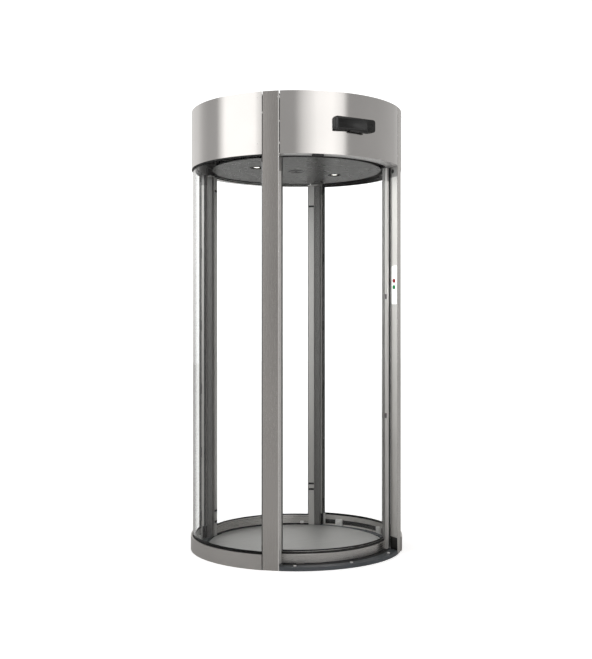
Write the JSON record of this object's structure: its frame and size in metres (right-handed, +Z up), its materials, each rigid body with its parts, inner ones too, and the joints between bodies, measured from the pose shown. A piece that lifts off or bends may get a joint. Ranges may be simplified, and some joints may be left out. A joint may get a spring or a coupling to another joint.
{
  "type": "security portal",
  "caption": "Round security portal with curved sliding glass doors at front and back, fixed curved glass sides, steel posts, a low base ring and a drum-shaped steel canopy.",
  "frame": {"origin": "middle of the base plate's underside, on the portal's upright axis", "axes": "+Z up; the passage runs along Y with the front doorway facing -Y; +X to the right seen from the front"},
  "size_m": [1.2078, 1.256, 2.475],
  "materials": {
    "base_paint": "satin dark grey paint",
    "floor_steel": "brushed stainless steel",
    "ring_steel": "brushed stainless steel",
    "clamp_metal": "milled aluminium",
    "wall_glass": "clear laminated glass",
    "door_glass": "clear laminated glass",
    "black_rubber": "matt black rubber",
    "post_steel": "satin stainless steel",
    "foot_black": "matt dark grey",
    "head_steel": "satin stainless steel",
    "cover_steel": "satin stainless steel",
    "canopy_steel": "finely brushed bright stainless steel",
    "top_paint": "matt grey paint",
    "frame_steel": "dark grey paint",
    "track_steel": "bare machined steel",
    "soffit_steel": "satin stainless steel",
    "ceiling_steel": "satin stainless steel",
    "stile_steel": "satin stainless steel",
    "black_plastic": "fine-textured black plastic",
    "lens": "frosted lens",
    "panel_white": "white panel",
    "lamp_red": "red lens",
    "lamp_green": "green lens"
  },
  "bodies": {
    "frame": {"base_plate": "base_paint", "floor_panel": "floor_steel", "base_ring_left": "ring_steel", "base_ring_right": "ring_steel", "ring_clamps": "clamp_metal", "pocket_strips": "clamp_metal", "wall_glass_left": "wall_glass", "wall_glass_right": "wall_glass", "wall_gaskets": "black_rubber", "glass_clips": "black_rubber", "wall_heads": "frame_steel", "posts": "post_steel", "post_feet": "foot_black", "post_heads": "head_steel", "post_covers": "cover_steel", "post_brushes": "black_rubber", "canopy_front": "canopy_steel", "canopy_back": "canopy_steel", "canopy_sides": "canopy_steel", "canopy_top": "top_paint", "canopy_frame": "frame_steel", "door_track": "track_steel", "soffits": "soffit_steel", "ceiling_panel": "ceiling_steel", "downlights": "black_plastic", "downlight_lenses": "lens", "ceiling_sensor": "ceiling_steel", "motion_sensor_front": "black_plastic", "motion_sensor_back": "black_plastic", "soffit_sensor": "black_plastic", "control_panel": "panel_white", "indicator_red": "lamp_red", "indicator_green": "lamp_green"},
    "front_door": {"front_door_glass": "door_glass", "front_door_bottom_rail": "ring_steel", "front_door_gasket": "black_rubber", "front_door_stiles": "stile_steel", "front_door_seals": "black_rubber", "front_door_hanger": "track_steel", "front_door_photocells": "black_plastic"},
    "back_door": {"back_door_glass": "door_glass", "back_door_bottom_rail": "ring_steel", "back_door_gasket": "black_rubber", "back_door_stiles": "stile_steel", "back_door_seals": "black_rubber", "back_door_hanger": "track_steel"}
  },
  "joints": [
    {"name": "front_door_slide", "type": "hinge", "parent": "frame", "child": "front_door", "pos_m": [0, 0, 0], "axis": [0, 0, -1], "range_deg": [0, 86]},
    {"name": "back_door_slide", "type": "hinge", "parent": "frame", "child": "back_door", "pos_m": [0, 0, 0], "axis": [0, 0, -1], "range_deg": [0, 86]}
  ]
}
